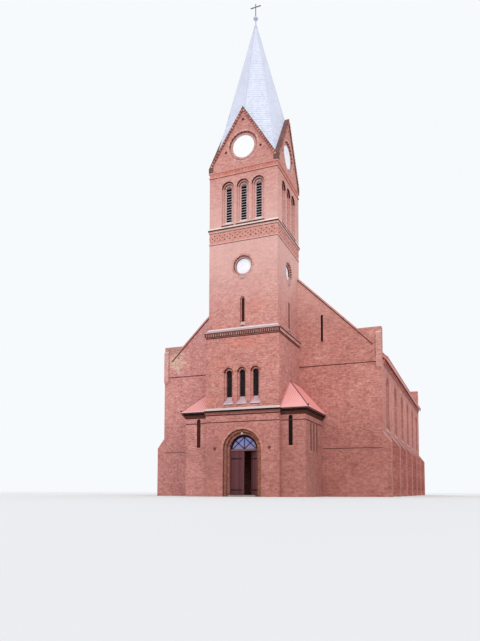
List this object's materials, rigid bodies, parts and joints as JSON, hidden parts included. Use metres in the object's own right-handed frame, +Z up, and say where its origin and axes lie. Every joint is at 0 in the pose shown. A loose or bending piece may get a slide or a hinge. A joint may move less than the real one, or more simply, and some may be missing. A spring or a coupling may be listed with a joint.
{
  "type": "church building",
  "caption": "Red-brick church with a square west tower, gabled belfry, pointed spire, low corner annexes and a long nave, entered through a double door.",
  "frame": {"origin": "on the ground under the centre of the whole building's box", "axes": "+X to the right seen from the entrance, +Y from the entrance to the far gable, +Z up"},
  "size_m": [17.18, 31.72, 34.54],
  "materials": {
    "brick": "weathered red facing brick",
    "roof_tile": "matt salmon-red tile",
    "slate": "pale grey shingle courses",
    "stone": "worn stone",
    "plaster": "limewashed plaster",
    "timber": "bare boards",
    "door_oak": "purple-brown stain",
    "louvre_wood": "grey weathered",
    "glass": "old leaded pane",
    "iron": "dark forged"
  },
  "bodies": {
    "building": {"portal_left_pier": "brick", "portal_right_pier": "brick", "portal_arch_wall": "brick", "lower_cornice": "brick", "gallery_front_wall": "brick", "tower_left_wall": "brick", "tower_right_wall": "brick", "tower_back_wall": "brick", "upper_cornice": "brick", "shaft_front_wall": "brick", "shaft_right_wall": "brick", "shaft_back_wall": "brick", "shaft_left_wall": "brick", "annex_left_front_wall": "brick", "annex_left_side_wall": "brick", "annex_right_front_wall": "brick", "annex_right_side_wall": "brick", "nave_west_left_wall": "brick", "nave_west_right_wall": "brick", "nave_left_wall": "brick", "nave_right_wall": "brick", "nave_east_wall": "brick", "doorstep": "stone", "tower_floor": "stone", "gallery_floor": "timber", "belfry_floor": "timber", "nave_floor": "stone", "door_frame": "door_oak", "fanlight_glass": "glass", "gallery_glass": "glass", "nave_glass_left": "glass", "nave_glass_right": "glass", "belfry_louvres_front": "louvre_wood", "belfry_louvres_right": "louvre_wood", "belfry_louvres_back": "louvre_wood", "belfry_louvres_left": "louvre_wood", "roundel_front": "plaster", "roundel_right": "plaster", "roundel_left": "plaster", "gable_copings": "slate", "spire": "slate", "spire_ball": "iron", "cross": "iron", "annex_left_roof": "roof_tile", "annex_right_roof": "roof_tile", "nave_roof_left": "roof_tile", "nave_roof_right": "roof_tile"},
    "left_leaf": {"door_leaf_left": "door_oak"},
    "right_leaf": {"door_leaf_right": "door_oak"}
  },
  "joints": [
    {"name": "door_left", "type": "hinge", "parent": "building", "child": "left_leaf", "pos_m": [-0.895, -15.181, 0], "axis": [0, 0, 1], "range_deg": [0, 90]},
    {"name": "door_right", "type": "hinge", "parent": "building", "child": "right_leaf", "pos_m": [0.895, -15.181, 0], "axis": [0, 0, -1], "range_deg": [-45, 45]}
  ]
}
